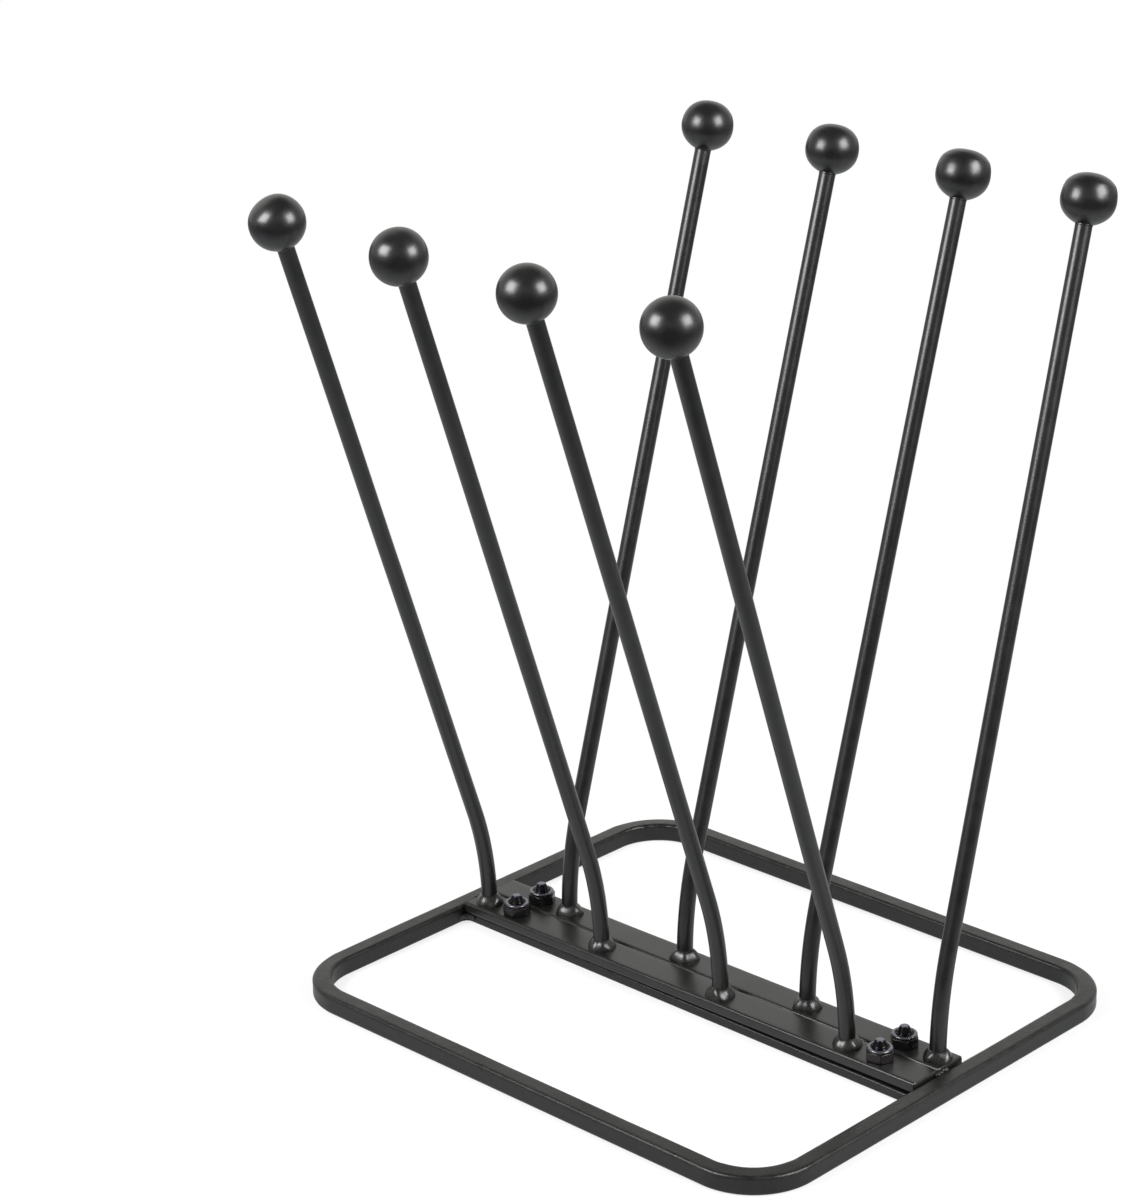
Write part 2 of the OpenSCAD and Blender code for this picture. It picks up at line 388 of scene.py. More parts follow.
def darkZinc(name, look):
    # Thin brown and blue tints over a dark metal, fine scuffs, and a top lightened as a painted highlight; also
    # for nylon
    finish, tree, metal, place = newFinish(name)
    p = zincCloud
    tints = cloud(tree, place, look["tintScale"], p["tintDetail"])
    tint = colourRamp(tree, tints, list(zip(p["tintSpan"], (look["brown"], look["blue"]))))
    height = vectorMaths(tree, "DOT_PRODUCT", place, (0, 0, 1))
    # Share of the lighter top colour, rising with height: a painted highlight
    top = remap(tree, height, *(z * mm for z in look["paintedHighlightFrom"]))
    scuff = cloud(tree, place, look["scuffScale"], p["scuffDetail"])

    plug(tree, look["metallic"], metal["Metallic"])
    plug(tree, blend(tree, top, tint, (*look["worn"], 1)), metal["Base Color"])
    plug(tree, remap(tree, scuff, *p["scuffSpan"], *look["roughness"]), metal["Roughness"])
    plug(tree, node(tree, "ShaderNodeBump", Distance=look["pits"], Height=scuff), metal["Normal"])
    return finish


loopFinish = satinPaint("loopPaint", framePaint)
stripFinish = satinPaint("stripPaint", stripPaint)
rodFinish = satinPaint("rodPaint", rodPaint)
ballFinish = satinPaint("ballPaint", ballPaint)
weldFinish = satinPaint("weldPaint", weldPaint)
nutFinish = darkZinc("nutZinc", nutZinc)
boltFinish = darkZinc("boltZinc", boltZinc)
nylonFinish = darkZinc("ringNylon", ringNylon)
print("finishes:", len(bpy.data.materials))


# Base loop: square bar bent between rollers, so its faces wander a little and pinch at the bends.
# What the dictionaries call waves is a count, and the longest and shortest wave.

loopBar = {
    "length": 324.0, "width": 280.0, "side": 10.0, "edge": 1.85, "bend": 36.0,
    "bendSteps": 30, "step": 5.0, "arcSteps": 7, "flatSteps": 5,
    "wander": 0.10,            # how far the outer and inner faces wander, mostly near the top
    "wanderTop": 0.4, "wanderSeed": 11, "wanderWaves": (5, 190, 45),
    "rise": 0.06,              # how far the top wanders up and down
    "riseTwist": 3, "riseSeed": 12, "riseWaves": (5, 150, 40),
    "pinch": 0.30,             # how much the inner side swells at a bend, and the outer side thins
    "thinning": 0.6, "pinchEase": 6,
    "dents": 0.55,             # depth of the roller marks inside the left rear bend
    "dentCorner": 2, "dentFrom": 0.35, "dentSpan": 0.5, "dentAcross": 0.6,
    "dentSeed": 5, "dentWaves": (6, 9, 4),
}


def loopStations(p, r):
    # Along the middle of the bar: x, y, outward x and y, how far into a bend (or -1), and which bend it follows
    halfX, halfY = ((p[k] - p["side"]) / 2 - r for k in ("length", "width"))
    corners = [(1, -1, -90), (1, 1, 0), (-1, 1, 90), (-1, -1, 180)]
    runs = [(2 * halfY, (0, 1), (1, 0)), (2 * halfX, (-1, 0), (0, 1)),
            (2 * halfY, (0, -1), (-1, 0)), (2 * halfX, (1, 0), (0, -1))]
    stations = []
    for number, ((sx, sy, start), (length, along, outward)) in enumerate(zip(corners, runs)):
        cx, cy = sx * halfX, sy * halfY
        for i in range(p["bendSteps"]):
            t = i / p["bendSteps"]
            a = math.radians(start + 90 * t)
            stations.append((cx + r * math.cos(a), cy + r * math.sin(a), math.cos(a), math.sin(a), t, number))
        a = math.radians(start + 90)
        x, y = cx + r * math.cos(a), cy + r * math.sin(a)
        steps = max(2, round(length / p["step"]))
        for i in range(steps):
            s = length * i / steps
            stations.append((x + along[0] * s, y + along[1] * s, *outward, -1, number))
    return stations


def buildLoop(p):
    half, r = p["side"] / 2, p["bend"] - p["side"] / 2
    stations = loopStations(p, r)
    outline = barSection(p["side"], p["side"], p["edge"], p["arcSteps"], p["flatSteps"])
    sideways, upward, ridge = (waves(p[k + "Seed"], *p[k + "Waves"]) for k in ("wander", "rise", "dent"))
    ringList, travelled, before = [], 0.0, stations[0]
    for x, y, outX, outY, t, number in stations:
        travelled += math.hypot(x - before[0], y - before[1])
        before = (x, y)
        bent = float(smoothStep(min(t, 1 - t) * p["pinchEase"])) if t >= 0 else 0.0
        across, up = outline[:, 0].copy(), outline[:, 1].copy()
        top = smoothStep(up / half)
        up += top * (-across / half) * p["pinch"] * bent
        across -= (across > 0) * (1 - (up / half) ** 2).clip(0) * p["pinch"] * p["thinning"] * bent
        if number == p["dentCorner"] and t >= 0:
            inner = smoothStep((-across / half - p["dentFrom"]) / p["dentSpan"]) * top
            mark = p["dents"] * max(0.0, float(ridge(t * r * math.pi / 2))) * math.sin(math.pi * t)
            up -= inner * mark
            across += inner * p["dentAcross"] * mark
        across += p["wander"] * sideways(travelled) * (1 + p["wanderTop"] * (up / half - 1))
        up += p["rise"] * upward(travelled + across * p["riseTwist"]) * top
        ringList.append(np.stack([x + outX * across, y + outY * across, (half + up).clip(0.0)], 1))
    shell = newShell()
    addRings(shell, ringList, loop=True)
    return shellMesh("baseLoop", shell, sharp=60)


addPiece("baseLoop", buildLoop(loopBar), loopFinish, "frame_paint", "base_loop")
print("base loop")


# Cross bar and strips: flat bar, drilled for the bolts, with its ends dressed by a file

crossBar = {
    "length": 304.0, "width": 36.4, "height": 5.2, "bottom": 0.0, "middle": 0.0,
    "edge": 1.2, "endBevel": 0.35, "seed": 21,
}
frontStrip = {
    "length": 303.0, "width": 19.0, "height": 6.0, "bottom": 6.0, "middle": -9.5,
    "edge": 1.6, "endBevel": 0.7, "seed": 22,
}
rearStrip = dict(frontStrip, middle=9.5, seed=23)
bar = {
    "arcSteps": 7, "flatSteps": 8, "step": 4.0,
    "bevel": ((0.0, 1.0), (0.3, 0.55), (1.0, 0.0)),      # shares of the bevel: in from the end, off each face
    "wander": 0.05, "twist": 2.5, "waves": (5, 120, 35),
}
boltHole = {
    "x": 122.25, "shift": 1.0, "y": 9.5, "diameter": 8.0, "headDiameter": 13.6, "headLand": 0.3, "sides": 64,
    "crossCut": (-1.0, 14.0), "stripCut": (5.0, 13.0),   # heights at which the cutters start and end
}


def buildBar(name, p):
    outline = barSection(p["width"], p["height"], p["edge"], bar["arcSteps"], bar["flatSteps"])
    halfL, bevel = p["length"] / 2, p["endBevel"]
    inset = np.maximum(np.abs(outline) - bevel, 0) * np.sign(outline)
    steps = round((p["length"] - 2 * bevel) / bar["step"])
    stations = [(-halfL + bevel * inward, shrink) for inward, shrink in bar["bevel"]]
    stations += [(-halfL + bevel + (p["length"] - 2 * bevel) * i / steps, 0.0) for i in range(1, steps)]
    stations += [(halfL - bevel * inward, shrink) for inward, shrink in reversed(bar["bevel"])]
    lift = waves(p["seed"], *bar["waves"])
    centre = p["bottom"] + p["height"] / 2
    ringList = []
    for x, shrink in stations:
        section = outline * (1 - shrink) + inset * shrink
        across, up = section[:, 0], section[:, 1].copy()
        top = smoothStep(up / p["height"] * 2)
        up += top * bar["wander"] * lift(x + across * bar["twist"])
        ringList.append(np.stack([np.full(len(section), x), p["middle"] + across, centre + up], 1))
    tips = [(x, p["middle"], centre) for x in (-halfL, halfL)]
    if p["middle"]:
        ringList, tips = onDeck(ringList), onDeck(tips)
    shell = newShell()
    addRings(shell, ringList, startTip=tips[0], endTip=tips[1])
    return shellMesh(name, shell)


def boltPlace(side, way):
    return onDeck((side * boltHole["x"] + boltHole["shift"], way * boltHole["y"]))


def drillBits(p, sunk):
    # One cutter with a bit for each bolt, countersunk from below in the cross bar
    head, hole, land = p["headDiameter"] / 2, p["diameter"] / 2, p["headLand"]
    start, stop = p["crossCut"] if sunk else p["stripCut"]
    mouth = [(head, start), (head, land), (hole, land + head - hole)] if sunk else [(hole, start)]
    shell = newShell()
    for side in ends.values():
        for way in rows.values():
            x, y = boltPlace(side, way)
            rings = turned(mouth + [(hole, stop)], p["sides"], x, y)
            addRings(shell, rings, startTip=(x, y, start), endTip=(x, y, stop))
    return shellMesh("drillBits", shell)


def drill(mesh, bits):
    blank = bpy.data.objects.new(mesh.name, mesh)
    cutter = bpy.data.objects.new("cutter", bits)
    for o in (blank, cutter):
        scene.collection.objects.link(o)
    cut = blank.modifiers.new("bolt holes", "BOOLEAN")
    cut.operation, cut.solver, cut.object = "DIFFERENCE", "EXACT", cutter
    bpy.context.view_layer.update()
    drilled = bpy.data.meshes.new_from_object(blank.evaluated_get(bpy.context.evaluated_depsgraph_get()))
    for o in (blank, cutter):
        bpy.data.objects.remove(o)
    return smoothed(drilled)


mesh = drill(buildBar("crossBar", crossBar), drillBits(boltHole, True))
addPiece("crossBar", mesh, loopFinish, "frame_paint", "cross_bar")
for name, strip in (("front", frontStrip), ("rear", rearStrip)):
    mesh = drill(buildBar(name + "Strip", strip), drillBits(boltHole, False))
    addPiece(name + "Strip", mesh, stripFinish, "strip_paint", name + "_strip")
print("cross bar and strips")


# Rods: each runs from its foot up a wide bend and then straight into its ball

rod = {
    "radius": 4.2, "bend": 160.0, "around": 32, "step": 5.0, "bendSteps": 16, "seat": 3.0,
    "bow": 0.12, "bowWaves": (3, 400, 160), "seed": 30,
}
ballRadius = 13.5


def rodLine(row, number):
    # Foot, ball centre, the direction and angle of the lean, and the length of the straight part
    foot = boxFoot(f"{row}_weld_{number}")
    ball = boxFoot(f"{row}_ball_{number}") + Vector((0, 0, ballRadius))
    flat = Vector((ball.x - foot.x, ball.y - foot.y, 0))
    reach, rise = flat.length, ball.z - foot.z
    flat.normalize()
    span = math.hypot(reach - rod["bend"], rise)
    lean = math.pi - math.atan2(rise, reach - rod["bend"]) - math.acos(rod["bend"] / span)
    straight = math.sqrt(span ** 2 - rod["bend"] ** 2)
    return foot, ball, flat, lean, straight


def headingAt(flat, angle):
    return flat * math.sin(angle) + Vector((0, 0, math.cos(angle)))


def buildRod(row, number, seed):
    foot, ball, flat, lean, straight = rodLine(row, number)
    side = flat.cross(Vector((0, 0, 1)))
    bend, total = rod["bend"], straight - rod["seat"]
    steps = round(total / rod["step"])
    bow = waves(seed, *rod["bowWaves"])
    places = [(lean * i / rod["bendSteps"], 0.0) for i in range(rod["bendSteps"])]
    places += [(lean, total * i / steps) for i in range(steps + 1)]
    ringList = []
    for angle, run in places:
        heading = headingAt(flat, angle)
        centre = foot + flat * bend * (1 - math.cos(angle)) + Vector((0, 0, bend * math.sin(angle)))
        centre += heading * run
        centre += side * rod["bow"] * float(bow(run)) * math.sin(math.pi * min(1.0, run / total))
        spokes = spokesRound(heading, side, turnAngles(rod["around"]))
        ringList.append(np.array(centre) + rod["radius"] * spokes)
    shell = newShell()
    addRings(shell, ringList, startTip=foot, endTip=ball - heading * rod["seat"])
    return shellMesh(f"{row}Rod{number}", shell, sharp=60)


for row in rows:
    for number in range(1, 5):
        mesh = buildRod(row, number, seedOf(rod["seed"], row, number))
        addPiece(f"{row}Rod{number}", mesh, rodFinish, "rod_paint", f"{row}_rod_{number}")
print("rods")


# Balls: no two are quite round. flat and wide are the depth and width of the worn top, aside is how far
# it faces the front left, shoulder is the bulge under it, and taper draws the ball in towards its rod.
# Angles are in degrees. The collar is the neck of paint on the rod: beyond the rod's radius, and down.

balls = {
    "around": 64, "rise": 56, "seed": 60,
    "shoulderAt": 57, "shoulderSpan": 26, "shoulderPower": 1.3, "taperFrom": 105, "taperSpan": 55,
    "swell": 0.05, "swellTwist": 20, "swellWaves": (4, 120, 60),
    "lastGap": 0.35, "collar": ((0.12, 0.28), (0.02, 0.75), (0.005, 0.8), (0.005, -0.5)), "socketGap": 0.005,
    "front_1": {"flat": 1.1, "wide": 52, "aside": 22, "shoulder": 0.05, "taper": 0.3},
    "front_2": {"flat": 0.6, "wide": 40, "aside": 0, "shoulder": 0.05, "taper": 0.2},
    "front_3": {"flat": 0.3, "wide": 40, "aside": 0, "shoulder": 0.05, "taper": 0.2},
    "front_4": {"flat": 0.3, "wide": 40, "aside": 0, "shoulder": 0.05, "taper": 0.2},
    "rear_1": {"flat": 0.5, "wide": 42, "aside": 0, "shoulder": 0.15, "taper": 0.5},
    "rear_2": {"flat": 0.8, "wide": 45, "aside": 0, "shoulder": 0.25, "taper": 0.8},
    "rear_3": {"flat": 1.2, "wide": 45, "aside": 0, "shoulder": 0.48, "taper": 0.8},
    "rear_4": {"flat": 0.95, "wide": 45, "aside": 0, "shoulder": 0.5, "taper": 0.8},
}
frontLeft = Vector((-0.71, -0.704, 0))


def buildBall(row, number, seed):
    p, own = balls, balls[f"{row}_{number}"]
    _, centre, flat, lean, _ = rodLine(row, number)
    heading = headingAt(flat, lean)
    angles = turnAngles(p["around"])
    spokes = spokesRound(heading, flat.cross(Vector((0, 0, 1))), angles)
    aside = math.radians(own["aside"])
    worn = np.array((heading * math.cos(aside) + frontLeft * math.sin(aside)).normalized())
    centre, axis = np.array(centre), np.array(heading)
    swell = waves(seed, *p["swellWaves"])
    last = math.pi - math.asin((rod["radius"] + p["lastGap"]) / ballRadius)
    ringList = []
    for i in range(1, p["rise"] + 1):
        phi = last * i / p["rise"]
        degrees = math.degrees(phi)
        point = math.cos(phi) * axis + math.sin(phi) * spokes
        fromWorn = np.degrees(np.arccos(np.clip(point @ worn, -1, 1)))
        bulge = np.clip(1 - np.abs(fromWorn - p["shoulderAt"]) / p["shoulderSpan"], 0, 1)
        radius = ballRadius - own["flat"] * (1 - smoothStep(fromWorn / own["wide"]))
        radius += own["shoulder"] * bulge ** p["shoulderPower"]
        radius -= own["taper"] * float(smoothStep((degrees - p["taperFrom"]) / p["taperSpan"]))
        radius += p["swell"] * swell(degrees + p["swellTwist"] * np.cos(angles)) * math.sin(phi)
        ringList.append(centre + radius[:, None] * point)
    depth = (ringList[-1].mean(0) - centre) @ axis
    neck = [(gap, depth - down) for gap, down in p["collar"]] + [(p["socketGap"], -rod["seat"])]
    for gap, along in neck:
        ringList.append(centre + along * axis + (rod["radius"] + gap) * spokes)
    top = centre + (ballRadius - own["flat"] * (1 - smoothStep(own["aside"] / own["wide"]))) * axis
    shell = newShell()
    addRings(shell, ringList, startTip=top, endTip=centre - axis * rod["seat"])
    return shellMesh(f"{row}Ball{number}", shell, sharp=70)


for row in rows:
    for number in range(1, 5):
        mesh = buildBall(row, number, seedOf(balls["seed"], row, number))
        addPiece(f"{row}Ball{number}", mesh, ballFinish, "ball_paint", f"{row}_ball_{number}")
print("balls")


# Welds round the rods' feet: an uneven skirt, thicker where each push of filler went in, then painted over

footWeld = {
    "spread": 3.35, "rise": 4.9, "around": 96, "arcSteps": 22, "sunk": 0.05, "seed": 80,
    "toe": 1.5, "neck": 1.3,                # how straight the skirt runs from the strip up to the rod
    "girth": 0.86, "most": 1.25,            # share of the spread between the pushes, and at most
    "evenRise": 0.55,                       # share of the rise that doesn't change with the girth
    "pushes": 5, "scatter": 0.25, "lump": 0.34, "least": 0.3, "width": 0.40, "slant": 0.7,
    "ripple": 0.035, "rippleWaves": (4, 1.6, 0.6),
    "heavy": 0.10,                          # how much thicker it is on the side that the torch came from
    "torch": -0.95,                         # direction that the torch came from, in radians
}


def buildFootWeld(row, number, seed):
    p, dice = footWeld, random.Random(seed)
    foot = np.array(boxFoot(f"{row}_weld_{number}"))
    angles = turnAngles(p["around"])
    fine = waves(seed + 1, *p["rippleWaves"])
    even = p["girth"] + p["ripple"] * fine(angles) + p["heavy"] * np.cos(angles - p["torch"])
    start = dice.uniform(0, 2 * math.pi)
    pushes = []                             # where each push lies, how thick it is and how far it leans
    for push in range(p["pushes"]):
        where = start + 2 * math.pi * (push + dice.uniform(-p["scatter"], p["scatter"])) / p["pushes"]
        pushes.append((where, p["lump"] * dice.uniform(p["least"], 1), p["slant"] * dice.uniform(-1, 1)))
    inner = rod["radius"] - p["sunk"]
    ringList = []
    for i in range(p["arcSteps"] + 1):
        a = math.pi / 2 * i / p["arcSteps"]
        up = math.sin(a) ** p["neck"]
        size = even.copy()
        for where, lump, slant in pushes:
            gap = np.angle(np.exp(1j * (angles - where - slant * up)))
            size += lump * np.exp(-(gap / p["width"]) ** 2)
        size = np.minimum(size, p["most"])
        radius = inner + p["spread"] * size * max(math.cos(a), 0) ** p["toe"]
        z = p["rise"] * (p["evenRise"] + (1 - p["evenRise"]) * size) * up
        ringList.append(foot + levelRing(0.0, 0.0, z, radius, angles))
    ringList.append(foot + levelRing(0.0, 0.0, 0.0, inner, angles))
    shell = newShell()
    addRings(shell, ringList, loop=True)
    return shellMesh(f"{row}Weld{number}", shell, sharp=75)


for row in rows:
    for number in range(1, 5):
        mesh = buildFootWeld(row, number, seedOf(footWeld["seed"], row, number))
        addPiece(f"{row}Weld{number}", mesh, weldFinish, "weld_paint", f"{row}_weld_{number}")
print("foot welds")


# Fillets where the cross bar meets the loop, and the tacks that tie the strip ends to the loop's top

crossWeld = {
    "x": 152.0, "y": 18.5, "leg": 6.0, "bottom": 1.4, "top": 4.9, "levels": 12, "arcSteps": 14, "seed": 100,
    "endShare": 0.72, "endEase": 0.04,      # the leg's share at the bottom and top, and where its easing stops
    "root": 0.25, "hollow": 0.3, "tip": 0.15,
    "lump": 0.35, "lumpTurns": (5, 3, 9),   # up the fillet, and twice across it
}
tackWeld = {
    "x": 152.3, "leftY": -8.0, "rightY": 3.0, "half": 4.6, "z": 9.9, "wide": 1.6, "high": 1.8,
    "stations": 36, "around": 24, "seed": 110,
    "blobs": 3, "pitch": 2.9, "scatter": 0.3, "sizes": (0.85, 1.1), "reach": 1.9, "least": 0.12,
    "lumps": ((0.06, 3, 2.1), (0.05, 5, -3.3)),          # depth, lumps round it, and their twist along it
}


def buildCrossWelds(side, seed):
    p, shell = crossWeld, newShell()
    upwards, across, acrossAgain = p["lumpTurns"]
    for row in rows.values():
        dice = random.Random(seed + row)
        phase = [dice.uniform(0, 6.28) for _ in range(2)]
        rings = []
        for level in range(p["levels"] + 1):
            t = level / p["levels"]
            z = p["bottom"] + (p["top"] - p["bottom"]) * t
            eased = math.sin(math.pi * min(max(t, p["endEase"]), 1 - p["endEase"])) ** 0.5
            leg = p["leg"] * (p["endShare"] + (1 - p["endShare"]) * eased)
            ring = [(p["root"], -p["root"])]
            for i in range(p["arcSteps"] + 1):
                a = math.pi / 2 * i / p["arcSteps"]
                uneven = math.sin(upwards * t + phase[0] + across * a) * math.sin(acrossAgain * a + phase[1])
                r = leg - p["hollow"] - p["lump"] * math.sin(2 * a) * (0.5 + 0.5 * uneven)
                ring.append((-leg + r * math.sin(a), leg - r * math.cos(a)))
            rings.append([(side * (p["x"] + x), row * (p["y"] + y), z) for x, y in ring])
        low, high = (np.array(ring).mean(0) for ring in (rings[0], rings[-1]))
        addRings(shell, rings, startTip=low, endTip=high + np.array((0, 0, p["tip"])))
    return shellMesh("crossWelds", shell, sharp=50)


def buildTackWeld(side, middle, seed):
    p, dice = tackWeld, random.Random(seed)
    blobs = []
    for k in range(p["blobs"]):
        at = middle + (k - (p["blobs"] - 1) / 2) * p["pitch"] + dice.uniform(-p["scatter"], p["scatter"])
        blobs.append((at, dice.uniform(*p["sizes"])))
    angles = turnAngles(p["around"])
    x, low, high = side * p["x"], middle - p["half"], middle + p["half"]
    rings = []
    for i in range(1, p["stations"]):
        y = low + 2 * p["half"] * i / p["stations"]
        girth = p["least"]
        for at, size in blobs:
            girth = max(girth, size * math.sqrt(max(0.0, 1 - ((y - at) / (p["reach"] * size)) ** 2)))
        lumpy = 1 + sum(depth * np.sin(turns * angles + y * twist) for depth, turns, twist in p["lumps"])
        rings.append(np.stack([x + p["wide"] * girth * lumpy * np.cos(angles),
                               np.full_like(angles, y),
                               p["z"] + p["high"] * girth * lumpy * np.sin(angles)], 1))
    shell = newShell()
    addRings(shell, rings, startTip=(x, low, p["z"]), endTip=(x, high, p["z"]))
    return shellMesh("tackWeld", shell, sharp=50)


for end, side in ends.items():
    mesh = buildCrossWelds(side, crossWeld["seed"] + side * 5)
    addPiece(end + "CrossWelds", mesh, weldFinish, "weld_paint", end + "_cross_welds")
    mesh = buildTackWeld(side, tackWeld[end + "Y"], tackWeld["seed"] + side * 5)
    addPiece(end + "TackWeld", mesh, loopFinish, "weld_paint", end + "_tack_weld")
print("cross and tack welds")


# Lock nuts, their nylon rings, and the bolts that come up from below. The nuts' angles are in degrees,
# and the bolts' turn, which changes with the side and the row, is in radians.

lockNut = {
    "acrossFlats": 13.0, "bodyHeight": 5.1, "height": 6.5, "seat": 5.0, "bore": 4.02, "boreTop": 2.5,
    "around": 144, "faceDiameter": 12.35, "faceInset": 0.3, "chamfer": 30, "cornerCut": 0.12, "soften": 0.22,
    "bodyLevels": ((0.02, 0.9, 10), (1.2, 3.9, 6), (4.2, 5.1, 11)),      # from, to, how many
    "crown": 6.45, "crownEdge": 0.7, "crownSteps": 12, "crownFoot": (-0.1, 0.04),
    "lip": 4.7, "lipEdge": 0.3, "lipSteps": 8, "gap": (0.02, 0.01),
    "turns": {"left_front": 53, "left_rear": 3, "right_front": 11, "right_rear": 15},
}
lockRing = {
    "outer": 4.98, "inner": 3.9, "bottom": 4.7, "height": 1.3, "around": 48,
    "outerEdge": ((0.0, 0.25), (0.1, 0.05), (0.3, 0.0)), "innerEdge": ((0.3, 0.0), (0.08, 0.08), (0.0, 0.3)),
}
bolt = {
    "bottom": 0.3, "length": 22.0, "radius": 4.0, "head": 6.8, "around": 72, "turn": (0.7, 1.9),
    "socketFlats": 4.96, "socketDepth": 3.2, "socketEnd": 0.7, "socketTip": 0.4,
    "socketEdge": 0.2, "socketMouth": (0.25, 0.02),
    "headEdge": ((-0.25, 0.0), (-0.05, 0.08), (-0.12, 0.2)), "neck": ((0.15, -0.1), (0.0, 0.2)),
    "threadFrom": 13.0, "pitch": 1.25, "depth": 0.62, "levels": 84, "runIn": 0.3, "runOut": 1.0,
    "flank": 2.5, "root": 0.12, "coneGap": 0.02, "coneHeight": 3.7, "soften": 0.08,
    "tipRadius": 2.2, "tipEdge": 0.55, "tipDrop": 0.33, "tipSteps": 6, "tipFlat": 0.4,
}


def hexRadius(angles, flats, turn):
    sector = (angles - turn) % (math.pi / 3) - math.pi / 6
    return flats / 2 / np.cos(sector)


def softLeast(a, b, soften):
    # The lesser of two radii, with the edge between them eased
    gap = np.clip(0.5 + 0.5 * (b - a) / soften, 0, 1)
    return b + (a - b) * gap - soften * gap * (1 - gap)


def buildNut(key, x, y):
    p = lockNut
    angles = turnAngles(p["around"])
    corner = p["acrossFlats"] / 2 / math.cos(math.pi / 6) - p["cornerCut"]
    hexagon = hexRadius(angles, p["acrossFlats"], math.radians(p["turns"][key]))
    hexagon = softLeast(hexagon, corner, p["soften"])
    slope = 1 / math.tan(math.radians(p["chamfer"]))
    face, body, height = p["faceDiameter"] / 2, p["bodyHeight"], p["height"]
    ringBottom, ringTop = lockRing["bottom"], lockRing["bottom"] + lockRing["height"]
    profile = [(p["bore"], 0.0), (face - p["faceInset"], 0.0)]
    for first, last, count in p["bodyLevels"]:
        for z in np.linspace(first, last, count):
            profile.append((softLeast(hexagon, face + min(z, body - z) * slope, p["soften"]), z))
    profile.append((p["crown"] + p["crownFoot"][0], body + p["crownFoot"][1]))
    for inward, down in quarterRound(p["crownSteps"]):
        profile.append((p["crown"] - p["crownEdge"] * inward, height - p["crownEdge"] * down))
    for down, outward in quarterRound(p["lipSteps"], 1):
        profile.append((p["lip"] + p["lipEdge"] * outward, height - p["lipEdge"] * down))
    profile += [(p["lip"], ringTop + p["gap"][0]), (p["seat"], ringTop + p["gap"][1]), (p["seat"], ringBottom),
                (p["bore"], ringBottom), (p["bore"], p["boreTop"])]
    shell = newShell()
    addRings(shell, [levelRing(x, y, deckHeight + z, radius, angles) for radius, z in profile], loop=True)
    return shellMesh("lockNut", shell, sharp=40)


def buildRing(x, y):
    p = lockRing
    low, high = deckHeight + p["bottom"], deckHeight + p["bottom"] + p["height"]
    profile = [(p["inner"], low), (p["outer"], low)]
    profile += [(p["outer"] - inward, high - down) for inward, down in p["outerEdge"]]
    profile += [(p["inner"] + outward, high - down) for outward, down in p["innerEdge"]]
    shell = newShell()
    addRings(shell, turned(profile, p["around"], x, y), loop=True)
    return shellMesh("lockRing", shell, sharp=50)


def buildBolt(x, y, phase):
    p = bolt
    angles = turnAngles(p["around"])
    low, high, start = p["bottom"], p["bottom"] + p["length"], p["threadFrom"]
    edge, mouth = p["socketEdge"], p["socketMouth"]
    socketTop, neck = low + p["socketDepth"], low + p["head"] - p["radius"]
    socket = hexRadius(angles, p["socketFlats"], phase)
    profile = [(socket * p["socketEnd"], socketTop), (socket, socketTop - edge),
               (socket, low + mouth[0]), (socket + edge, low + mouth[1])]
    profile += [(p["head"] + outward, low + up) for outward, up in p["headEdge"]]
    profile += [(p["radius"] + outward, neck + up) for outward, up in p["neck"]]
    profile.append((p["radius"], start - p["runIn"]))
    for i in range(p["levels"] + 1):
        z = start + (high - p["tipDrop"] - start) * i / p["levels"]
        turn = (z / p["pitch"] - (angles + phase) / (2 * math.pi)) % 1.0
        crest = np.clip(np.abs(turn - 0.5) * p["flank"] - p["root"], 0, 1)
        thread = p["radius"] - p["depth"] * crest * float(smoothStep((z - start) / p["runOut"]))
        onCone = max(0.0, z - (high - p["coneHeight"])) / p["coneHeight"]
        limit = p["radius"] + p["coneGap"] - (p["radius"] - p["tipRadius"]) * onCone
        profile.append((softLeast(thread, limit, p["soften"]), z))
    for inward, down in quarterRound(p["tipSteps"], 1):
        profile.append((p["tipRadius"] - p["tipEdge"] * inward, high - p["tipDrop"] * down))
    profile.append((p["tipRadius"] * p["tipFlat"], high))
    rings = [levelRing(x, y, z, radius, angles) for radius, z in profile]
    shell = newShell()
    addRings(shell, rings, startTip=(x, y, socketTop + p["socketTip"]), endTip=(x, y, high))
    return shellMesh("bolt", shell, sharp=45)


for end, side in ends.items():
    for row, way in rows.items():
        key, name = f"{end}_{row}", end + row.capitalize()
        x, y = boltPlace(side, way)
        turn = side * bolt["turn"][0] + way * bolt["turn"][1]
        addPiece(name + "Nut", buildNut(key, x, y), nutFinish, "nut_steel", key + "_nut")
        addPiece(name + "LockRing", buildRing(x, y), nylonFinish, "nylon", key + "_lock_ring")
        addPiece(name + "Bolt", buildBolt(x, y, turn), boltFinish, "bolt_steel", key + "_bolt")
print("nuts, rings and bolts")


# Studio: a white room, a pale floor that keeps the rack's shadow, and a soft box on each side.
# The satin paint mirrors floor and room as greys that darken away from the rack and towards the camera.
# Ahead is level towards the camera, and aside is to its right. Lengths in metres, angles in degrees.

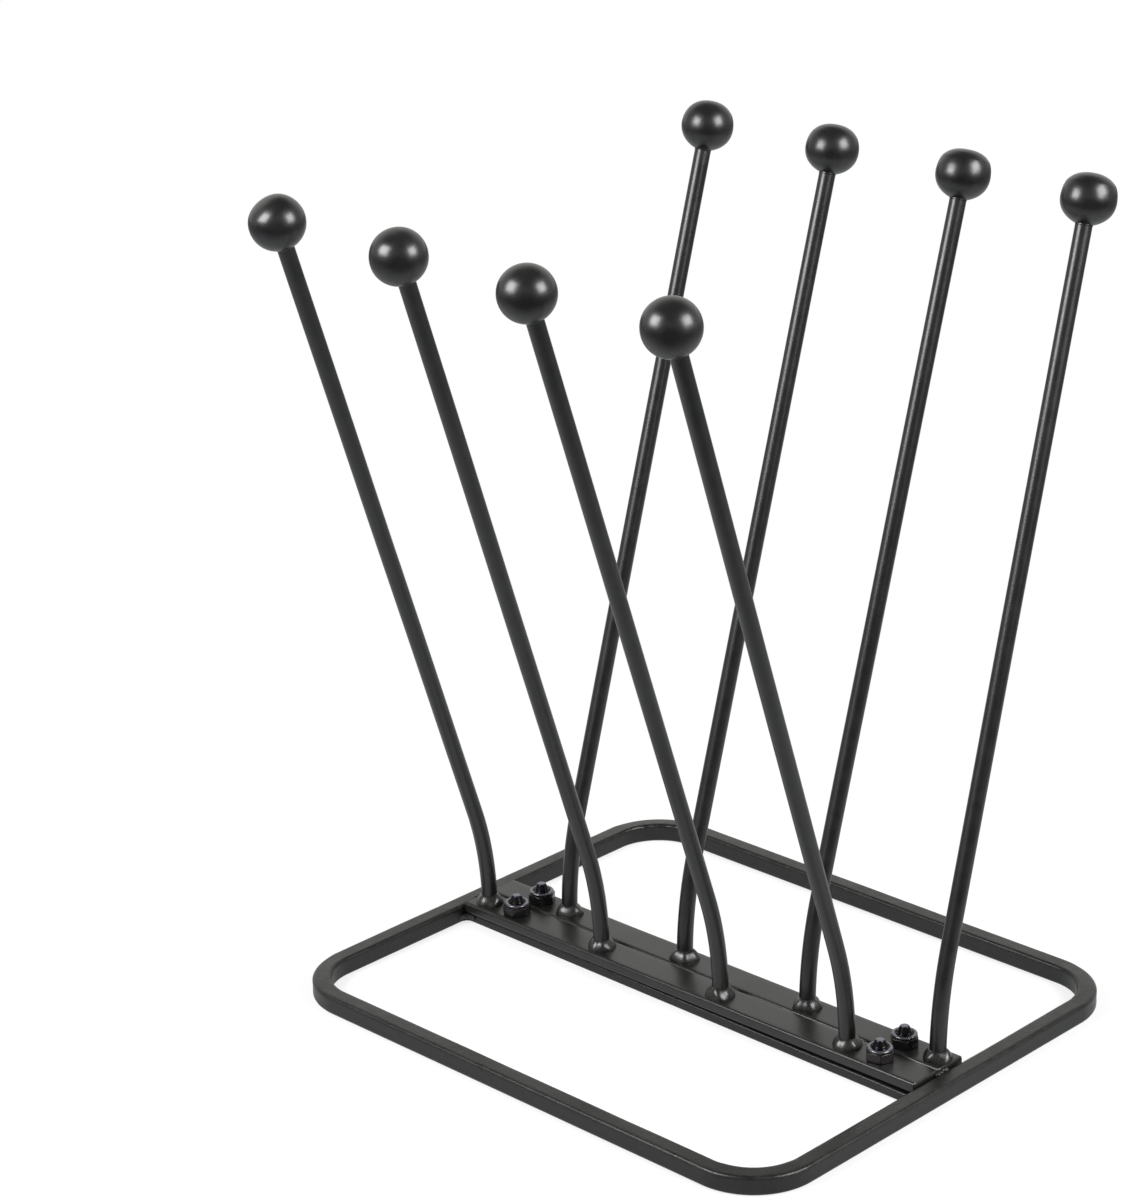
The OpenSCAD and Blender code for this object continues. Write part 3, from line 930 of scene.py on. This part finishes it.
studio = {
    "floorRadius": 8.0, "floorSides": 96, "floorDrop": 0.0002, "floorColour": 0.7,
    "floorGlow": 0.74,                          # what is seen is a glow of its own,
    "floorShare": 0.26,                         # and a lit share that keeps the shadow
    "whiteSpan": (0.22, 0.50),                  # distance over which the seen floor turns plain white
    "mirrored": 0.68,                           # how much of the floor the satin paint shows
    "aheadFade": (0.12, 0.72, 1.0, 0.09), "asideFade": (0.42, 1.1, 1.0, 0.35),     # from, to, levels there
    "roomTint": (1.0, 0.99, 0.955), "roomFill": 0.5, "floorTint": (0.965, 0.98, 1.0),
    "roomTurn": ((-1.0, 1.0), (-0.72, 0.92), (-0.42, 0.50), (0.1, 0.46), (0.5, 0.36), (1.0, 0.34)),
    "spotAhead": (0.70, 0.93, 0.0, 1.0), "spotHeight": (0.14, 0.42, 1.0, 0.0), "spotDark": 0.14,
    "roofFade": (0.57, 0.80, 1.0, 0.25),
}
softBoxes = {
    "left": {
        "azimuth": -66.0, "elevation": 27.5, "distance": 1.05,
        "width": 0.60, "height": 0.53, "radiance": 13.2,
    },
    "right": {
        "azimuth": 59.0, "elevation": 27.0, "distance": 1.35,
        "width": 0.77, "height": 0.68, "radiance": 12.6,
    },
}
softBoxTint = (0.985, 0.99, 1.0)
plainWhite = (1, 1, 1, 1)
lampAim = Vector((0.0, 0.0, 0.41))
rightwards = Vector((-towardsCamera.y, towardsCamera.x, 0))


def emptyTree(owner):
    owner.use_nodes = True
    owner.node_tree.nodes.clear()
    return owner.node_tree


def seenRays(tree, path):
    # Rays that show the background: from the camera, and those that metal or glass sends on
    direct = maths(tree, "MAXIMUM", path["Is Camera Ray"], path["Is Glossy Ray"])
    return maths(tree, "MAXIMUM", direct, path["Is Transmission Ray"])


def layFloor(p):
    shell, down = newShell(), -p["floorDrop"] / mm
    addRings(shell, turned([(p["floorRadius"] / mm, down)], p["floorSides"]), startTip=(0, 0, down))
    mesh = shellMesh("floor", shell)
    floor = bpy.data.objects.new("floor", mesh)
    scene.collection.objects.link(floor)
    paint = bpy.data.materials.new("floorPaint")
    tree = emptyTree(paint)
    path = tree.nodes.new("ShaderNodeLightPath").outputs
    place = tree.nodes.new("ShaderNodeTexCoord").outputs["Object"]

    forwards = vectorMaths(tree, "DOT_PRODUCT", place, towardsCamera)
    sideways = maths(tree, "ABSOLUTE", vectorMaths(tree, "DOT_PRODUCT", place, rightwards))
    ahead = easeOver(tree, forwards, *p["aheadFade"])
    aside = easeOver(tree, sideways, *p["asideFade"])
    fade = maths(tree, "MAXIMUM", multiply(tree, ahead, aside, p["mirrored"]), path["Is Camera Ray"])

    tint = blend(tree, path["Is Camera Ray"], (*p["floorTint"], 1), plainWhite)
    glow = node(tree, "ShaderNodeEmission", tint, multiply(tree, fade, p["floorGlow"]))
    share = node(tree, "ShaderNodeBsdfDiffuse", multiply(tree, fade, p["floorShare"]))
    near = node(tree, "ShaderNodeAddShader", glow, share)
    far = node(tree, "ShaderNodeEmission", tint, fade)
    white = easeOver(tree, vectorMaths(tree, "LENGTH", place), *p["whiteSpan"], 0.0, 1.0)
    seen = node(tree, "ShaderNodeMixShader", white, near, far)

    lit = node(tree, "ShaderNodeBsdfDiffuse", (p["floorColour"],) * 3 + (1,))
    pick = node(tree, "ShaderNodeMixShader", seenRays(tree, path), lit, seen)
    plug(tree, pick, tree.nodes.new("ShaderNodeOutputMaterial").inputs["Surface"])
    mesh.materials.append(paint)


def paintRoom(p):
    room = bpy.data.worlds.new("room")
    scene.world = room
    tree = emptyTree(room)
    path = tree.nodes.new("ShaderNodeLightPath").outputs
    heading = tree.nodes.new("ShaderNodeTexCoord").outputs["Generated"]
    ahead = vectorMaths(tree, "DOT_PRODUCT", heading, towardsCamera)
    height = vectorMaths(tree, "DOT_PRODUCT", heading, (0, 0, 1))

    stops = [((where + 1) / 2, (level,) * 3) for where, level in p["roomTurn"]]
    turn = colourRamp(tree, remap(tree, ahead, -1, 1), stops)
    spot = multiply(tree, easeOver(tree, ahead, *p["spotAhead"]), easeOver(tree, height, *p["spotHeight"]))
    dimmed = maths(tree, "SUBTRACT", 1.0, multiply(tree, spot, 1 - p["spotDark"]))
    shape = multiply(tree, turn, dimmed, easeOver(tree, height, *p["roofFade"]))

    mirroredRoom = node(tree, "ShaderNodeBackground", (*p["roomTint"], 1), shape)
    whiteRoom = node(tree, "ShaderNodeBackground", plainWhite)
    fill = node(tree, "ShaderNodeBackground", Strength=p["roomFill"])
    seen = node(tree, "ShaderNodeMixShader", path["Is Camera Ray"], mirroredRoom, whiteRoom)
    pick = node(tree, "ShaderNodeMixShader", seenRays(tree, path), fill, seen)
    plug(tree, pick, tree.nodes.new("ShaderNodeOutputWorld").inputs["Surface"])


def hangLamps():
    for name, p in softBoxes.items():
        lamp = bpy.data.lights.new(name + "SoftBox", "AREA")
        lamp.shape = "RECTANGLE"
        lamp.size, lamp.size_y = p["width"], p["height"]
        lamp.energy = math.pi * p["width"] * p["height"] * p["radiance"]
        lamp.color = softBoxTint
        stand = bpy.data.objects.new(name + "SoftBox", lamp)
        turn, rise = math.radians(p["azimuth"]), math.radians(p["elevation"])
        level = towardsCamera * math.cos(turn) + rightwards * math.sin(turn)
        at = lampAim + (level * math.cos(rise) + Vector((0, 0, math.sin(rise)))) * p["distance"]
        aim = (lampAim - at).to_track_quat("-Z", "Y").to_matrix().to_4x4()
        stand.matrix_world = Matrix.Translation(at) @ aim
        stand.visible_camera = False
        scene.collection.objects.link(stand)


layFloor(studio)
paintRoom(studio)
hangLamps()
print("studio")
